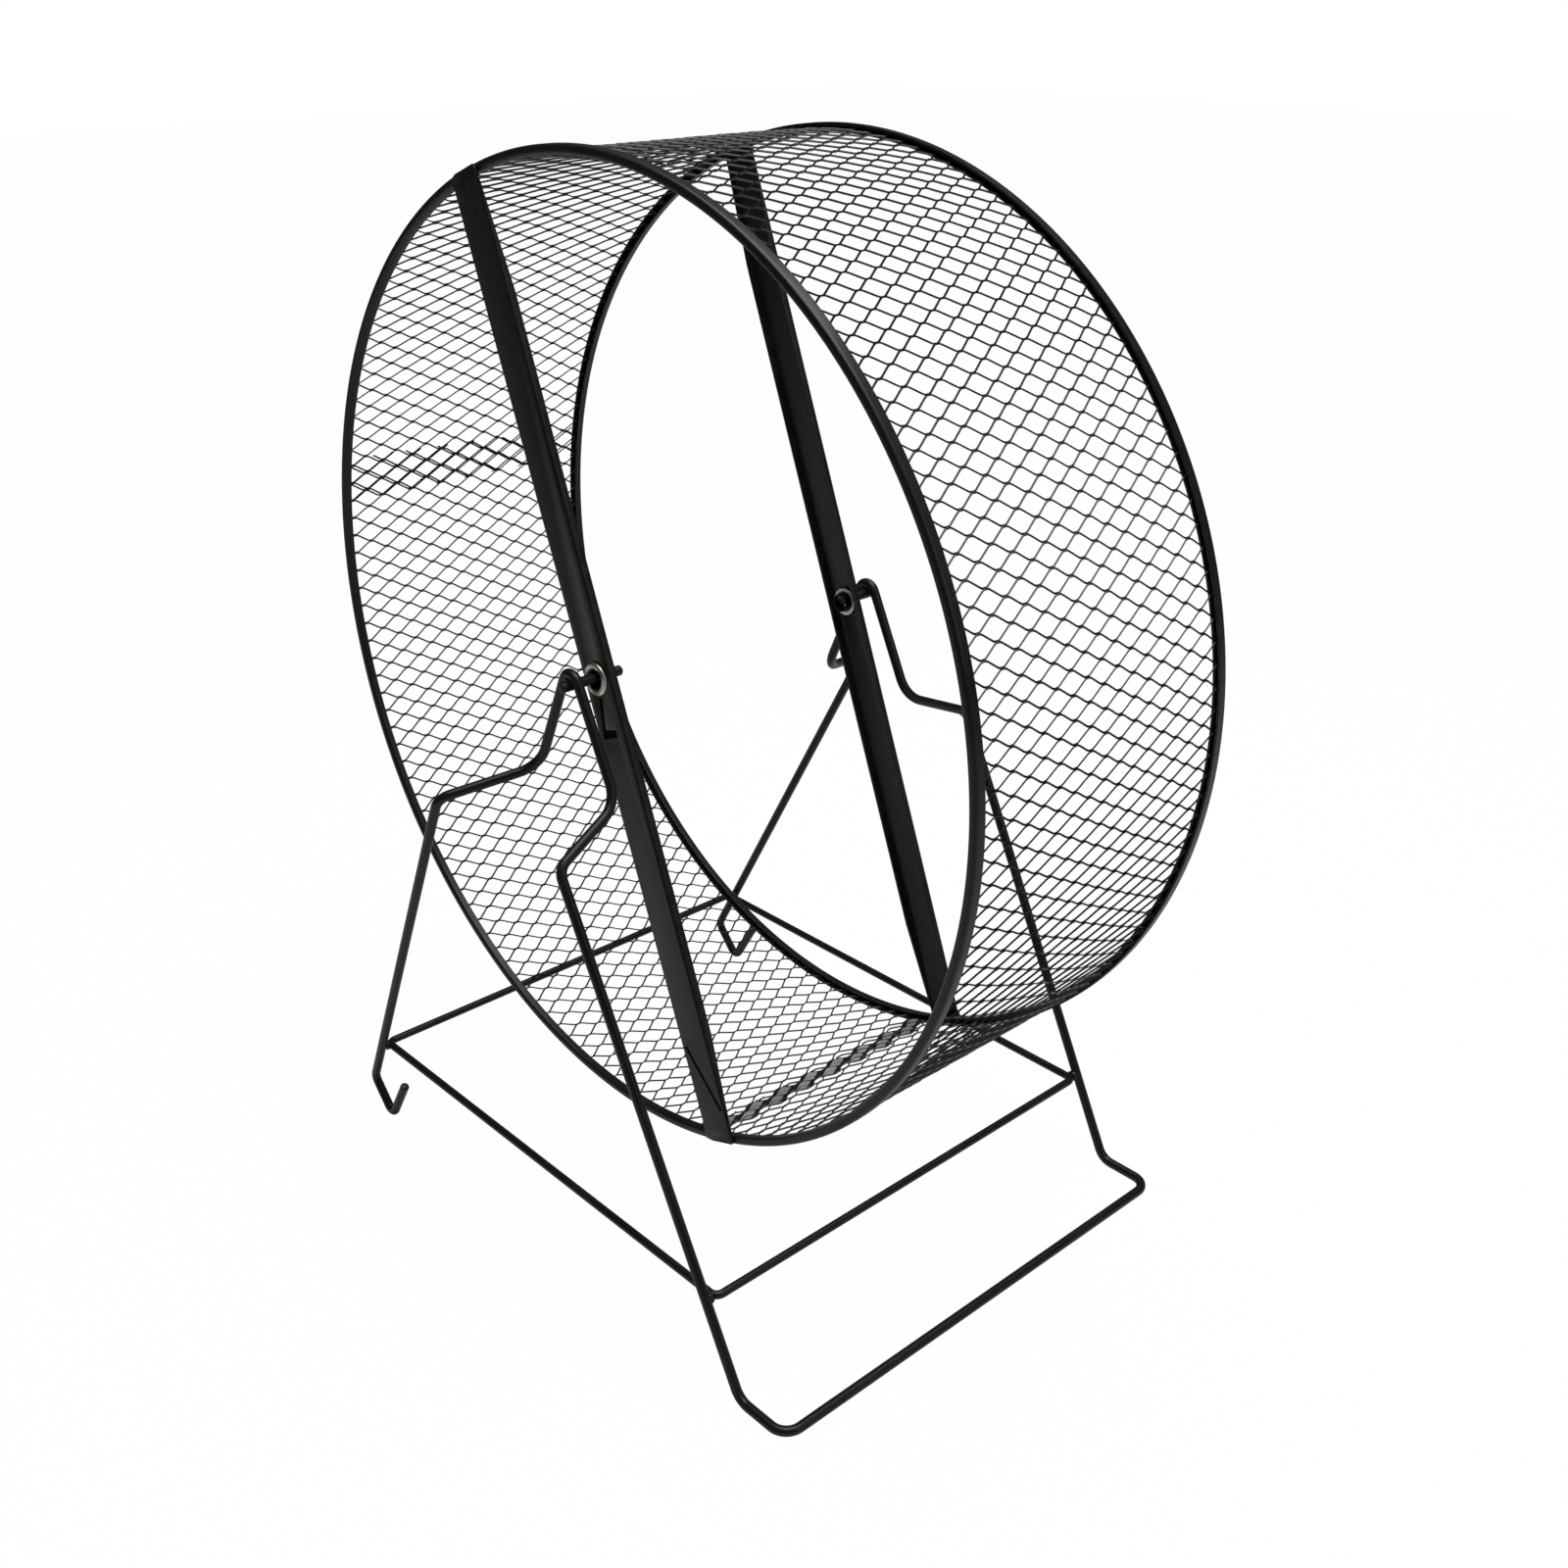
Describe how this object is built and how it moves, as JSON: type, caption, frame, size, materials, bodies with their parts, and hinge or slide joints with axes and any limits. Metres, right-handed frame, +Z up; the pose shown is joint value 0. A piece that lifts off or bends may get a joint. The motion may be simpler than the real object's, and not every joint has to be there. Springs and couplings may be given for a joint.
{
  "type": "hamster wheel",
  "caption": "Hamster exercise wheel: expanded-mesh drum between two rolled rims, on spoke straps and pins in a bent wire stand.",
  "frame": {"origin": "on the floor under the middle of the wheel, which is the middle of the object's box", "axes": "+Z up, +Y along the axle towards the back, +X towards the foot bar and away from the hooks"},
  "size_m": [0.2828, 0.1744, 0.323],
  "materials": {
    "rim_steel": "satin black enamel",
    "mesh_steel": "satin black enamel on expanded steel",
    "strap_steel": "satin black enamel, slightly warm",
    "stand_steel": "satin black enamel on drawn wire",
    "eyelet_zinc": "bright zinc plate, worn smooth"
  },
  "bodies": {
    "stand": {"stand_wire": "stand_steel", "brace_loop": "stand_steel", "front_axle_pin": "stand_steel", "back_axle_pin": "stand_steel"},
    "wheel": {"front_rim": "rim_steel", "back_rim": "rim_steel", "long_mesh_panel": "mesh_steel", "short_mesh_panel": "mesh_steel", "front_spoke_strap": "strap_steel", "back_spoke_strap": "strap_steel", "front_hub_eyelet": "eyelet_zinc", "back_hub_eyelet": "eyelet_zinc"}
  },
  "joints": [
    {"name": "wheel_spin", "type": "hinge", "parent": "stand", "child": "wheel", "pos_m": [0, 0, 0.1817], "axis": [0, 1, 0], "continuous": true}
  ]
}
